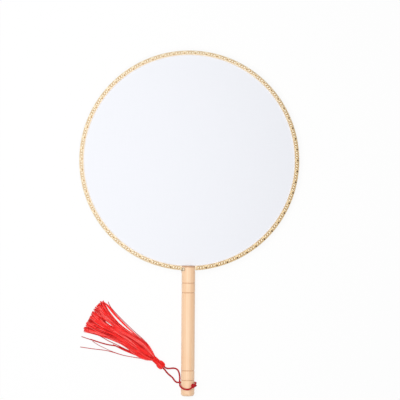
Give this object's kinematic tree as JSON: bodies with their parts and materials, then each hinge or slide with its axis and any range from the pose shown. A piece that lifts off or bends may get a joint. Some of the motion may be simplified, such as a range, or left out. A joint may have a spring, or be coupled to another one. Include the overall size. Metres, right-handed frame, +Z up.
{
  "type": "round hand fan",
  "caption": "Round hand fan: blank white cloth face with a woven gold edge braid on a bent hoop, turned wooden handle, red tassel on a cord loop.",
  "frame": {"origin": "on the table, under the middle of the fan's length and width, with the fan lying on its back and its handle's underside on the table", "axes": "+X to the right across the face, +Y from the handle's butt to the top of the face, +Z up out of the front face"},
  "size_m": [0.204, 0.32, 0.0147],
  "materials": {
    "wood": "pale turned hardwood, sanded, thin clear coat",
    "hoop_wood": "bare bamboo strip",
    "face_cloth": "plain white silk-like cloth, taut",
    "gold_braid": "woven gold braid, soft metallic lustre",
    "cord": "thin dark red twisted cord",
    "tassel": "bright red silky thread"
  },
  "bodies": {
    "fan": {"handle": "wood", "hoop": "hoop_wood", "front_cloth": "face_cloth", "back_cloth": "face_cloth", "edge_braid": "gold_braid", "cord_hole_run": "cord", "cord_knot": "cord", "cord_front_run": "cord"},
    "cord_loop": {"cord_upper_strand": "cord", "cord_lower_strand": "cord"},
    "tassel": {"tassel_head": "tassel", "neck_binding": "tassel", "tassel_skirt": "tassel"}
  },
  "joints": [
    {"name": "loop_swing", "type": "hinge", "parent": "fan", "child": "cord_loop", "pos_m": [-0.00715, -0.1494, 0.00625], "axis": [0, 0, 1], "range_deg": [-5, 130], "deforming": ["cord_upper_strand", "cord_lower_strand"]},
    {"name": "tassel_lift", "type": "hinge", "parent": "cord_loop", "child": "tassel", "pos_m": [-0.0227, -0.1335, 0.0035], "axis": [0.6756, 0.7373, 0], "range_deg": [-80, 80], "deforming": ["cord_upper_strand", "cord_lower_strand"]}
  ]
}
